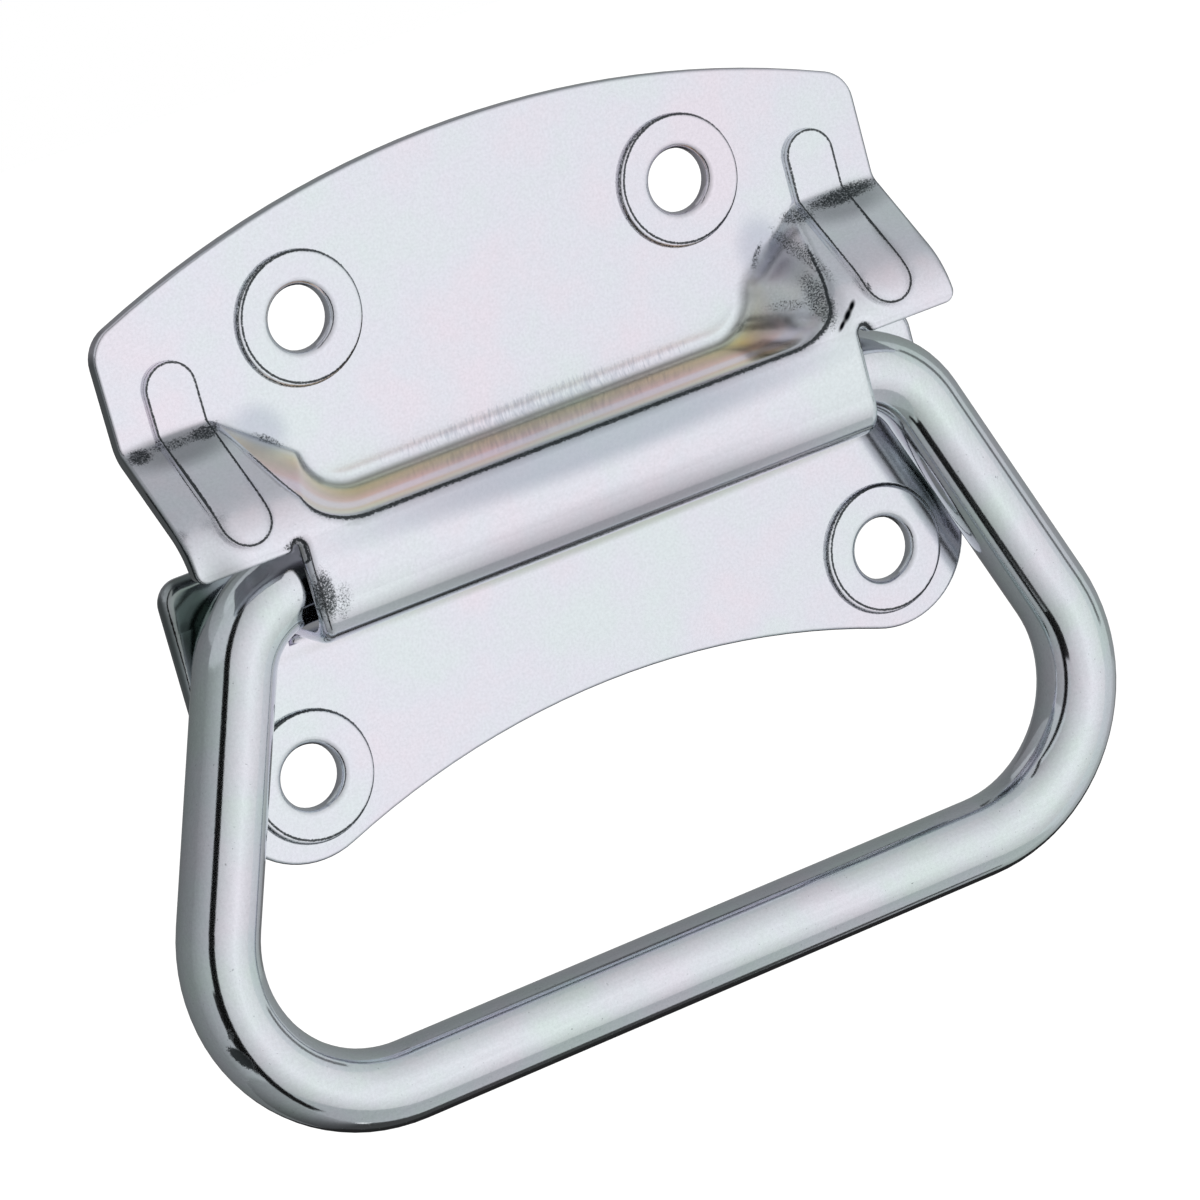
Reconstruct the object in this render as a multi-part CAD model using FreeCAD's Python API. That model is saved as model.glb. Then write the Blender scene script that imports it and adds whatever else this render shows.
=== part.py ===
import FreeCAD, Part
import math
import os

# Chest handle: a pressed steel mounting plate and a bent rod bail that swings in it.
# X runs across the handle, Z is up and the handle stands out of the wall towards -Y.
# The origin is midway between the two upper screw holes, on the plane of the wall.
# In this file "height" is how far a surface stands in front of the plate's flat front.

# Sheet and outline of the mounting plate
sheet = 1.2
half_width = 35.3
tab_half_width = 35.4
arch_top = 10.8
arch_radius = 89.0
top_corner_radius = 3.0
hood_corner_radius = 1.0
hood_relief_radius = 0.35
upper_edge_round = 0.3
lower_edge_round = 0.3

# Screw holes and the raised rings round them
screw_hole_radius = 2.62
screw_hole_lead = 0.7
ring_radius = 5.5
ring_rise = 0.5
ring_wall = 0.8
ring_top_radius = 0.35
upper_hole_x = 17.65
lower_hole_x = 27.35
lower_hole_z = -35.45

# Lower edge of the plate
lower_edge_middle = -37.35
lower_edge_radius = 72.0
lobe_radius = 7.5

# Rod of the bail and its fit in the channel
rod_diameter = 6.75
channel_side_gap = 0.3
plate_gap = 0.3
roof_gap = 0.65
hood_gap = 0.3

# Bail, measured on the centreline of the rod
pivot_z = -19.2
bail_drop = 41.85
bail_half_at_pivot = 30.6
bail_half_at_grip = 46.6
bail_upper_bend = 7.5
bail_lower_bend = 13.1
bail_end_length = 12.5
bail_end_chamfer = 0.5

# Raised form of the plate, measured on its front
crease_z = -5.3
wing_slope = 50.0
crease_radius = 1.0
crown_bend_radius = 6.5
channel_corner_radius = 3.0
channel_root_radius = 0.7
channel_half_length = 26.0
mouth_radius = 0.9

# Pocket pressed in between the wings, measured on its front
pocket_corner_x = 27.2
pocket_side_angle = 36.6
pocket_side_steepness = 63.0
pocket_wall_steepness = 87.0
pocket_floor_corner_x = 16.5
pocket_floor_corner_radius = 4.4
pocket_crest_corner_radius = 9.0
pocket_radius = 1.0

# Stiffening ribs over the creases
rib_x = 29.8
rib_width = 4.4
rib_top_z = 0.45
rib_bottom_z = -13.9
rib_rise = 0.5
rib_wall = 0.6

# Tabs behind the hoods
tab_top_z = -16.5
tab_corner_radius = 2.0
tab_edge_radius = 0.9

# Values that follow from the ones above
rod_radius = rod_diameter / 2.0
rod_height = plate_gap + rod_radius
crown_height = rod_height + rod_radius + roof_gap + sheet
channel_top_inner = pivot_z + rod_radius + channel_side_gap
channel_bottom_inner = pivot_z - rod_radius - channel_side_gap
channel_bottom_front = channel_bottom_inner - sheet
hood_edge_z = pivot_z + rod_radius + hood_gap
pocket_lean = math.radians(pocket_wall_steepness)
pocket_z = channel_top_inner + sheet / math.sin(pocket_lean) + rod_height / math.tan(pocket_lean)
bail_grip_z = pivot_z - bail_drop
far = 2.0 * half_width


def point(x, z, height):
    """Place a point given across, up and in front of the plate's flat front."""
    return FreeCAD.Vector(x, -(height + sheet), z)


def rounded_wire(corners, place):
    """Make a closed wire from corners (a, b, radius), each rounded by its radius."""
    count = len(corners)
    starts = []
    ends = []
    middles = []
    for index in range(count):
        a, b, radius = corners[index]
        here = FreeCAD.Vector(a, b, 0)
        if radius <= 0:
            starts.append(here)
            ends.append(here)
            middles.append(None)
            continue
        before = FreeCAD.Vector(corners[index - 1][0], corners[index - 1][1], 0)
        after = FreeCAD.Vector(corners[(index + 1) % count][0], corners[(index + 1) % count][1], 0)
        to_before = (before - here).normalize()
        to_after = (after - here).normalize()
        half_angle = to_before.getAngle(to_after) / 2.0
        tangent = radius / math.tan(half_angle)
        bisector = (to_before + to_after).normalize()
        starts.append(here + to_before * tangent)
        ends.append(here + to_after * tangent)
        middles.append(here + bisector * (radius / math.sin(half_angle) - radius))
    edges = []
    for index in range(count):
        if middles[index] is not None:
            arc = Part.Arc(
                place(starts[index].x, starts[index].y),
                place(middles[index].x, middles[index].y),
                place(ends[index].x, ends[index].y),
            )
            edges.append(arc.toShape())
        following = starts[(index + 1) % count]
        if (following - ends[index]).Length > 1e-6:
            line = Part.LineSegment(
                place(ends[index].x, ends[index].y),
                place(following.x, following.y),
            )
            edges.append(line.toShape())
    return Part.Wire(edges)


def slab(wire, low, high):
    """Raise a flat wire drawn at height 0 into a solid between two heights."""
    face = Part.Face(wire)
    face.translate(FreeCAD.Vector(0, -low, 0))
    return face.extrude(FreeCAD.Vector(0, -(high - low), 0))


def cylinder(x, z, radius, low, high):
    """Make a round solid square to the plate between two heights."""
    return Part.makeCylinder(radius, high - low, point(x, z, low), FreeCAD.Vector(0, -1, 0))


def raised_form(depth):
    """Return the solid under the formed front surface, sunk evenly by a depth."""
    slope = math.radians(wing_slope)
    shift = depth * math.tan(slope / 2.0)
    crown = crown_height - depth
    deep = -8.0
    corners = [
        (arch_top + 5.0, -depth, 0),
        (crease_z - shift, -depth, crease_radius + depth),
        (crease_z - crown_height / math.tan(slope) - shift, crown, crown_bend_radius - depth),
        (channel_bottom_front + depth, crown, channel_corner_radius - depth),
        (channel_bottom_front + depth, -depth, channel_root_radius + depth),
        (lower_hole_z - 15.0, -depth, 0),
        (lower_hole_z - 15.0, deep, 0),
        (arch_top + 5.0, deep, 0),
    ]
    wire = rounded_wire(corners, lambda z, height: point(-far, z, height))
    return Part.Face(wire).extrude(FreeCAD.Vector(2.0 * far, 0, 0))


def pocket_outline(depth, height, on_floor):
    """Draw the pocket's edge at one height, for a surface sunk by a depth."""
    side = math.radians(pocket_side_angle)
    side_rise = math.radians(pocket_side_steepness)
    wall_rise = math.radians(pocket_wall_steepness)
    side_offset = height / math.tan(side_rise) + depth / math.sin(side_rise)
    wall_offset = height / math.tan(wall_rise) + depth / math.sin(wall_rise)
    foot_x = pocket_corner_x + side_offset * math.sin(side)
    foot_z = crease_z - side_offset * math.cos(side)
    top_z = crease_z + 6.0
    wall_z = pocket_z - wall_offset
    top_x = foot_x + (top_z - foot_z) / math.tan(side)
    if on_floor:
        radius = pocket_floor_corner_radius + wall_offset
        centre_x = pocket_floor_corner_x
        centre_z = pocket_z + pocket_floor_corner_radius
        along_x = math.cos(side)
        along_z = math.sin(side)
        rel_x = foot_x - centre_x
        rel_z = foot_z - centre_z
        half_b = rel_x * along_x + rel_z * along_z
        c = rel_x * rel_x + rel_z * rel_z - radius * radius
        step = -half_b + math.sqrt(half_b * half_b - c)
        join = (foot_x + step * along_x, foot_z + step * along_z)
        start_angle = math.atan2(join[1] - centre_z, join[0] - centre_x)
    else:
        radius = pocket_crest_corner_radius + depth
        centre_z = wall_z + radius
        centre_x = foot_x + (centre_z - foot_z) / math.tan(side) - radius / math.sin(side)
        join = (centre_x + radius * math.sin(side), centre_z - radius * math.cos(side))
        start_angle = side - math.pi / 2.0
    middle_angle = (start_angle - math.pi / 2.0) / 2.0
    arc_middle = (centre_x + radius * math.cos(middle_angle), centre_z + radius * math.sin(middle_angle))
    arc_end = (centre_x, wall_z)
    edges = [
        Part.LineSegment(point(-top_x, top_z, height), point(top_x, top_z, height)).toShape(),
        Part.LineSegment(point(top_x, top_z, height), point(join[0], join[1], height)).toShape(),
        Part.Arc(
            point(join[0], join[1], height),
            point(arc_middle[0], arc_middle[1], height),
            point(arc_end[0], arc_end[1], height),
        ).toShape(),
        Part.LineSegment(point(arc_end[0], wall_z, height), point(-arc_end[0], wall_z, height)).toShape(),
        Part.Arc(
            point(-arc_end[0], arc_end[1], height),
            point(-arc_middle[0], arc_middle[1], height),
            point(-join[0], join[1], height),
        ).toShape(),
        Part.LineSegment(point(-join[0], join[1], height), point(-top_x, top_z, height)).toShape(),
    ]
    return Part.Wire(edges)


def pocket_cutter(depth):
    """Return the tapered solid that clears the pocket in front of its floor."""
    floor = pocket_outline(depth, -depth, True)
    rim = pocket_outline(depth, crown_height + 2.0, False)
    return Part.makeLoft([floor, rim], True, True)


def spans(shape):
    """List each edge with its across, up and height spans."""
    listed = []
    for edge in shape.Edges:
        box = edge.BoundBox
        listed.append((
            edge,
            (min(abs(box.XMin), abs(box.XMax)), max(abs(box.XMin), abs(box.XMax))),
            (box.ZMin, box.ZMax),
            (-box.YMax - sheet, -box.YMin - sheet),
        ))
    return listed


def round_pocket(shape, depth):
    """Round the pocket's foot, and on the front its rim and ridges as well."""
    slope = math.radians(wing_slope)
    run_out = (crease_radius + depth) * math.tan(slope / 2.0) * math.cos(slope)
    rim_end = crease_z - run_out + 0.01
    floor_corner_z = pocket_z + pocket_floor_corner_radius
    on_front = depth < pocket_radius
    picked = []
    for edge, across, up, height in spans(shape):
        if up[0] < pocket_z - 2.0 or across[1] > pocket_corner_x + 0.5:
            continue
        level = abs(height[0] + depth) < 0.01
        flat = level and height[1] - height[0] < 0.01
        foot = flat and up[0] < pocket_z + 0.1 and up[1] < floor_corner_z + 0.5
        ridge = level and height[1] > 1.0 and up[1] < floor_corner_z + 0.5
        seam = ridge and up[0] < pocket_z - 0.1 and up[1] < pocket_z + 0.1
        rim = not level and height[0] > 0.1 - depth and up[1] < rim_end
        if foot or (on_front and (rim or (ridge and not seam))):
            picked.append(edge)
    return shape.makeFillet(pocket_radius + depth, picked)


def rib(width, rise_depth):
    """Return the two ribs: the form raised inside a slot-shaped outline."""
    level = raised_form(rise_depth)
    half = width / 2.0
    inset = (rib_width - width) / 2.0
    pieces = []
    for side in (-1.0, 1.0):
        centre = side * rib_x
        corners = [
            (centre - half, rib_top_z - inset, half * 0.999),
            (centre + half, rib_top_z - inset, half * 0.999),
            (centre + half, rib_bottom_z + inset, half * 0.999),
            (centre - half, rib_bottom_z + inset, half * 0.999),
        ]
        outline = rounded_wire(corners, lambda x, z: point(x, z, 0))
        pieces.append(slab(outline, -2.0 * sheet, crown_height + 2.0).common(level))
    return pieces


def ring_places():
    """List the four screw holes as (across, up)."""
    places = []
    for side in (-1.0, 1.0):
        places.append((side * upper_hole_x, 0.0))
        places.append((side * lower_hole_x, lower_hole_z))
    return places


def screw_hole(x, z):
    """Return the cutter for one screw hole, rounded where a screw goes in."""
    top = ring_rise
    lead = screw_hole_lead
    centre_height = top - lead
    centre_radius = screw_hole_radius + lead
    middle = lead * math.sqrt(0.5)
    edges = [
        Part.LineSegment(
            FreeCAD.Vector(0, 0, -2.0 * sheet),
            FreeCAD.Vector(screw_hole_radius, 0, -2.0 * sheet),
        ).toShape(),
        Part.LineSegment(
            FreeCAD.Vector(screw_hole_radius, 0, -2.0 * sheet),
            FreeCAD.Vector(screw_hole_radius, 0, centre_height),
        ).toShape(),
        Part.Arc(
            FreeCAD.Vector(screw_hole_radius, 0, centre_height),
            FreeCAD.Vector(centre_radius - middle, 0, centre_height + middle),
            FreeCAD.Vector(centre_radius, 0, top),
        ).toShape(),
        Part.LineSegment(
            FreeCAD.Vector(centre_radius, 0, top),
            FreeCAD.Vector(centre_radius, 0, top + 1.0),
        ).toShape(),
        Part.LineSegment(
            FreeCAD.Vector(centre_radius, 0, top + 1.0),
            FreeCAD.Vector(0, 0, top + 1.0),
        ).toShape(),
        Part.LineSegment(
            FreeCAD.Vector(0, 0, top + 1.0),
            FreeCAD.Vector(0, 0, -2.0 * sheet),
        ).toShape(),
    ]
    cutter = Part.Face(Part.Wire(edges)).revolve(
        FreeCAD.Vector(0, 0, 0), FreeCAD.Vector(0, 0, 1), 360
    )
    cutter.rotate(FreeCAD.Vector(0, 0, 0), FreeCAD.Vector(1, 0, 0), 90)
    cutter.translate(point(x, z, 0))
    return cutter


def ring_boss(x, z):
    """Return one raised ring with its top edge rounded."""
    boss = cylinder(x, z, ring_radius, -0.5 * sheet, ring_rise)
    top = [e for e, across, up, height in spans(boss) if abs(height[0] - ring_rise) < 0.01]
    return boss.makeFillet(ring_top_radius, top)


def formed_sheet():
    """Return the pressed sheet before it is trimmed to its outline."""
    front = round_pocket(raised_form(0.0).cut(pocket_cutter(0.0)), 0.0)
    for piece in rib(rib_width, -rib_rise):
        front = front.fuse(piece)
    back = round_pocket(raised_form(sheet).cut(pocket_cutter(sheet)), sheet)
    for piece in rib(rib_width - 2.0 * rib_wall, sheet - rib_rise):
        back = back.fuse(piece)
    return front.cut(back)


def upper_outline():
    """Draw the upper plate, the hoods and the channel as one closed outline."""
    side_z = arch_top - arch_radius + math.sqrt(arch_radius ** 2 - half_width ** 2)
    root_z = channel_bottom_front - channel_root_radius
    corner_x = half_width - top_corner_radius
    inner_radius = arch_radius - top_corner_radius
    centre_z = arch_top - arch_radius
    corner_z = centre_z + math.sqrt(inner_radius ** 2 - corner_x ** 2)
    reach = arch_radius / inner_radius
    meet_x = corner_x * reach
    meet_z = centre_z + (corner_z - centre_z) * reach
    lean = (math.atan2(corner_z - centre_z, corner_x)) / 2.0
    bulge_x = corner_x + top_corner_radius * math.cos(lean)
    bulge_z = corner_z + top_corner_radius * math.sin(lean)
    hood_x = half_width - hood_corner_radius
    hood_z = hood_edge_z + hood_corner_radius
    hood_bulge = hood_corner_radius * math.sqrt(0.5)
    inner = channel_half_length
    relief_x = inner + hood_relief_radius
    relief_out = inner + 2.0 * hood_relief_radius
    relief_top = hood_edge_z + hood_relief_radius

    def line(x1, z1, x2, z2):
        return Part.LineSegment(point(x1, z1, 0), point(x2, z2, 0)).toShape()

    def arc(x1, z1, x2, z2, x3, z3):
        return Part.Arc(point(x1, z1, 0), point(x2, z2, 0), point(x3, z3, 0)).toShape()

    edges = [
        arc(-meet_x, meet_z, 0, arch_top, meet_x, meet_z),
        arc(meet_x, meet_z, bulge_x, bulge_z, half_width, corner_z),
        line(half_width, corner_z, half_width, hood_z),
        arc(half_width, hood_z, hood_x + hood_bulge, hood_z - hood_bulge, hood_x, hood_edge_z),
        line(hood_x, hood_edge_z, relief_out, hood_edge_z),
        arc(relief_out, hood_edge_z, relief_x, relief_top, inner, hood_edge_z),
        line(inner, hood_edge_z, inner, root_z),
        line(inner, root_z, -inner, root_z),
        line(-inner, root_z, -inner, hood_edge_z),
        arc(-inner, hood_edge_z, -relief_x, relief_top, -relief_out, hood_edge_z),
        line(-relief_out, hood_edge_z, -hood_x, hood_edge_z),
        arc(-hood_x, hood_edge_z, -hood_x - hood_bulge, hood_z - hood_bulge, -half_width, hood_z),
        line(-half_width, hood_z, -half_width, corner_z),
        arc(-half_width, corner_z, -bulge_x, bulge_z, -meet_x, meet_z),
    ]
    return Part.Wire(edges)


def lower_half(side):
    """Return one tab with its half of the lower plate, its front edge rolled over."""
    edge_centre_z = lower_edge_middle - lower_edge_radius
    reach = lower_edge_radius + lobe_radius
    lobe_x = tab_half_width - lobe_radius
    lobe_z = edge_centre_z + math.sqrt(reach ** 2 - lobe_x ** 2)
    share = lobe_radius / reach
    meet_x = lobe_x * (1.0 - share)
    meet_z = lobe_z + (edge_centre_z - lobe_z) * share
    meet_angle = math.atan2(meet_z - lobe_z, meet_x - lobe_x)
    lobe_bulge_x = lobe_x + lobe_radius * math.cos(meet_angle / 2.0)
    lobe_bulge_z = lobe_z + lobe_radius * math.sin(meet_angle / 2.0)
    edge_angle = math.atan2(meet_x, meet_z - edge_centre_z) / 2.0
    edge_bulge_x = lower_edge_radius * math.sin(edge_angle)
    edge_bulge_z = edge_centre_z + lower_edge_radius * math.cos(edge_angle)
    corner_x = tab_half_width - tab_corner_radius
    corner_z = tab_top_z - tab_corner_radius
    corner_bulge = tab_corner_radius * math.sqrt(0.5)
    root_z = channel_bottom_front - channel_root_radius
    inner = channel_half_length

    def place(x, z):
        return point(side * x, z, 0)

    def line(x1, z1, x2, z2):
        return Part.LineSegment(place(x1, z1), place(x2, z2)).toShape()

    def arc(x1, z1, x2, z2, x3, z3):
        return Part.Arc(place(x1, z1), place(x2, z2), place(x3, z3)).toShape()

    outline = Part.Wire([
        line(inner, tab_top_z, corner_x, tab_top_z),
        arc(corner_x, tab_top_z, corner_x + corner_bulge, corner_z + corner_bulge, tab_half_width, corner_z),
        line(tab_half_width, corner_z, tab_half_width, lobe_z),
        arc(tab_half_width, lobe_z, lobe_bulge_x, lobe_bulge_z, meet_x, meet_z),
        arc(meet_x, meet_z, edge_bulge_x, edge_bulge_z, 0, lower_edge_middle),
        line(0, lower_edge_middle, 0, root_z),
        line(0, root_z, inner, root_z),
        line(inner, root_z, inner, tab_top_z),
    ])
    blank = slab(outline, -sheet, 0)
    for edge, across, up, height in spans(blank):
        on_side = abs(across[0] - tab_half_width) < 0.01 and up[1] - up[0] > 1.0
        if on_side and abs(height[0]) < 0.01:
            if edge.firstVertex().Z > edge.lastVertex().Z:
                return blank.makeFillet(tab_edge_radius, lower_edge_round, [edge])
            return blank.makeFillet(lower_edge_round, tab_edge_radius, [edge])
    return blank


def round_mouths(plate):
    """Round the front edge of each open end of the channel."""
    picked = []
    for edge, across, up, height in spans(plate):
        at_end = abs(across[0] - channel_half_length) < 0.01 and across[1] - across[0] < 0.01
        on_crown = abs(height[0] - crown_height) < 0.01 and up[1] - up[0] > 1.0
        if at_end and on_crown:
            picked.append(edge)
    return plate.makeFillet(mouth_radius, picked)


def round_outline(plate):
    """Round the front edge of the upper plate and of the hoods."""
    picked = []
    for edge, across, up, height in spans(plate):
        on_arch = abs(up[1] - arch_top) < 0.01 and abs(height[0]) < 0.01 and abs(height[1]) < 0.01
        if on_arch:
            picked.append(edge)
    return plate.makeFillet(upper_edge_round, picked)


def mounting_plate():
    """Return the whole pressed plate, trimmed and pierced."""
    trim = slab(upper_outline(), -2.0 * sheet, crown_height + 2.0)
    plate = formed_sheet().common(trim)
    plate = round_mouths(plate)
    plate = round_outline(plate)
    for side in (-1.0, 1.0):
        plate = plate.fuse(lower_half(side))
    for x, z in ring_places():
        plate = plate.fuse(ring_boss(x, z))
    for x, z in ring_places():
        recess = cylinder(x, z, ring_radius - ring_wall, -2.0 * sheet, ring_rise - sheet)
        plate = plate.cut(recess).cut(screw_hole(x, z))
    return plate.removeSplitter()


def bail():
    """Return the bent rod, hanging down, with its two turned-in ends."""
    pivot = bail_half_at_pivot
    grip = bail_half_at_grip
    path_corners = [
        (-pivot, pivot_z, bail_upper_bend),
        (-grip, bail_grip_z, bail_lower_bend),
        (grip, bail_grip_z, bail_lower_bend),
        (pivot, pivot_z, bail_upper_bend),
    ]
    arm = math.atan2(grip - pivot, bail_drop)
    turn = math.pi / 2.0 - arm
    start_x = pivot - bail_upper_bend * math.tan(turn / 2.0)
    end_x = start_x - bail_end_length
    nodes = [FreeCAD.Vector(-end_x, pivot_z, 0)]
    nodes += [FreeCAD.Vector(a, b, 0) for a, b, radius in path_corners]
    nodes += [FreeCAD.Vector(end_x, pivot_z, 0)]

    def place(vector):
        return point(vector.x, vector.y, rod_height)

    edges = []
    previous = nodes[0]
    for index, (a, b, radius) in enumerate(path_corners):
        here = nodes[index + 1]
        to_before = (nodes[index] - here).normalize()
        to_after = (nodes[index + 2] - here).normalize()
        half_angle = to_before.getAngle(to_after) / 2.0
        tangent = radius / math.tan(half_angle)
        bisector = (to_before + to_after).normalize()
        arc_start = here + to_before * tangent
        arc_middle = here + bisector * (radius / math.sin(half_angle) - radius)
        arc_end = here + to_after * tangent
        edges.append(Part.LineSegment(place(previous), place(arc_start)).toShape())
        edges.append(Part.Arc(place(arc_start), place(arc_middle), place(arc_end)).toShape())
        previous = arc_end
    edges.append(Part.LineSegment(place(previous), place(nodes[-1])).toShape())
    path = Part.Wire(edges)
    circle = Part.makeCircle(rod_radius, place(nodes[0]), FreeCAD.Vector(1, 0, 0))
    rod = path.makePipeShell([Part.Wire([circle])], True, False)
    rims = []
    for edge, across, up, height in spans(rod):
        if abs(across[0] - end_x) < 0.01 and across[1] - across[0] < 0.01:
            rims.append(edge)
    return rod.makeChamfer(bail_end_chamfer, rims)


os.makedirs("parts", exist_ok=True)
mounting_plate().exportStep("parts/mounting_plate.step")
bail().exportStep("parts/bail.step")
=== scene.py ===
"""Looks for the chest handle: bright zinc on a pressed plate and a bent rod, in a white studio."""
import logging
import math
from dataclasses import dataclass
from enum import Enum
from typing import Any, Sequence

import bpy
from mathutils import Matrix, Vector


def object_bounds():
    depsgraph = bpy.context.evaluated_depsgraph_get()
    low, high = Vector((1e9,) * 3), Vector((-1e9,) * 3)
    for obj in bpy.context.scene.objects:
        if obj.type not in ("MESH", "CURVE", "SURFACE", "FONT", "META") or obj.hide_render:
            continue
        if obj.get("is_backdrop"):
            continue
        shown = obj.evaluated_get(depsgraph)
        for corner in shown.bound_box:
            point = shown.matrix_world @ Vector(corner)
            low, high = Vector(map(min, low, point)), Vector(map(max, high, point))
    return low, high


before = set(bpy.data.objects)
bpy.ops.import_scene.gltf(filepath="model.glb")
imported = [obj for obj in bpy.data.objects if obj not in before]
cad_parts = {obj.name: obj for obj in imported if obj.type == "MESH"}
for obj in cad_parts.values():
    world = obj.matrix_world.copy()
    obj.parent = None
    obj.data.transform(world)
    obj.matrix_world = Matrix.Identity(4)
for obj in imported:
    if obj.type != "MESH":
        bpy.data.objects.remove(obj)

Socket = bpy.types.NodeSocket
Tree = bpy.types.NodeTree
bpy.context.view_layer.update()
MM = 0.001
THROUGH_MM = 1000.0
PATCH_CORE = 0.3
MIX_FACTOR, MIX_A, MIX_B, MIX_OUT = 0, 6, 7, 2

logging.basicConfig(level=logging.INFO, format="%(levelname)s %(message)s")
log = logging.getLogger("chest_handle")


class Piece(Enum):
    """The two pieces of the handle, by their CAD names."""

    PLATE = "mounting_plate"
    BAIL = "bail"


def linear(hex_colour: str) -> tuple[float, float, float, float]:
    """Turn an sRGB hex colour into linear light.

    Args:
        hex_colour: six hex digits, with or without a leading hash.

    Returns:
        Red, green, blue and alpha, linear.
    """
    digits = hex_colour.lstrip("#")
    values = [int(digits[i:i + 2], 16) / 255.0 for i in (0, 2, 4)]
    light = [v / 12.92 if v <= 0.04045 else ((v + 0.055) / 1.055) ** 2.4 for v in values]
    return (light[0], light[1], light[2], 1.0)


def add_node(
    tree: Tree,
    kind: str,
    links: dict[Any, Socket] | None = None,
    values: dict[Any, Any] | None = None,
    **settings: Any,
) -> bpy.types.Node:
    """Add one node to a tree with its settings, input values and incoming links.

    Args:
        tree: the tree that gets the node.
        kind: the node's type name.
        links: input name or number to the output that feeds it.
        values: input name or number to its value.
        **settings: properties of the node itself.

    Returns:
        The new node.
    """
    node = tree.nodes.new(kind)
    for name, setting in settings.items():
        setattr(node, name, setting)
    for key, value in (values or {}).items():
        node.inputs[key].default_value = value
    for key, output in (links or {}).items():
        tree.links.new(output, node.inputs[key])
    return node


def set_ramp(node: bpy.types.Node, stops: Sequence[tuple[float, str]]) -> None:
    """Give a colour ramp its stops.

    Args:
        node: the colour ramp node.
        stops: positions from 0 to 1 in rising order, each with its hex colour.
    """
    elements = node.color_ramp.elements
    while len(elements) < len(stops):
        elements.new(1.0)
    for element, (position, hex_colour) in zip(elements, stops):
        element.position = position
        element.color = linear(hex_colour)


@dataclass(frozen=True)
class Patch:
    """An oval region of a piece, seen from the front, that a mark covers.

    Sizes are in millimetres and the turn is in degrees; amount 1 marks it fully.
    """

    x: float
    z: float
    half_x: float
    half_z: float
    amount: float = 1.0
    turn: float = 0.0

    def mask(self, tree: Tree, place: Socket, faces: Socket | None = None) -> Socket:
        """Make the patch's strength, which falls off softly towards its rim.

        Args:
            tree: the material's tree.
            place: the place on the piece in millimetres.
            faces: 1 on the faces that it marks and 0 elsewhere, or None where it marks all.

        Returns:
            The strength, from 0 outside to the patch's amount in the middle.
        """
        inside = add_node(
            tree, "ShaderNodeMapping", {"Vector": place},
            {
                "Location": (self.x, 0.0, self.z),
                "Rotation": (0.0, math.radians(self.turn), 0.0),
                "Scale": (self.half_x, THROUGH_MM, self.half_z),
            },
            vector_type="TEXTURE",
        )
        reach = add_node(
            tree, "ShaderNodeVectorMath", {0: inside.outputs["Vector"]}, operation="LENGTH",
        )
        strength = add_node(
            tree, "ShaderNodeMapRange", {"Value": reach.outputs["Value"]},
            {"From Min": 1.0, "From Max": PATCH_CORE, "To Max": self.amount},
            interpolation_type="SMOOTHSTEP",
        ).outputs["Result"]
        if faces is None:
            return strength
        return add_node(
            tree, "ShaderNodeMath", {0: strength, 1: faces}, operation="MULTIPLY",
        ).outputs[0]

    def painted(
        self, tree: Tree, place: Socket, faces: Socket, colour: Socket, tone: str,
    ) -> Socket:
        """Lay a tone over the colour so far, inside the patch.

        Args:
            tree: the material's tree.
            place: the place on the piece in millimetres.
            faces: 1 on the faces that it marks and 0 elsewhere.
            colour: the colour so far.
            tone: the hex colour of the mark.

        Returns:
            The new colour.
        """
        return add_node(
            tree, "ShaderNodeMix", {MIX_FACTOR: self.mask(tree, place, faces), MIX_A: colour},
            {MIX_B: linear(tone)}, data_type="RGBA",
        ).outputs[MIX_OUT]

    def raised(
        self, tree: Tree, place: Socket, level: Socket, faces: Socket | None = None,
    ) -> Socket:
        """Raise a level to the patch's strength where that is greater.

        Args:
            tree: the material's tree.
            place: the place on the piece in millimetres.
            level: the level so far.
            faces: 1 on the faces that it marks and 0 elsewhere, or None where it marks all.

        Returns:
            The new level.
        """
        return add_node(
            tree, "ShaderNodeMath", {0: level, 1: self.mask(tree, place, faces)},
            operation="MAXIMUM",
        ).outputs[0]


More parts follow.
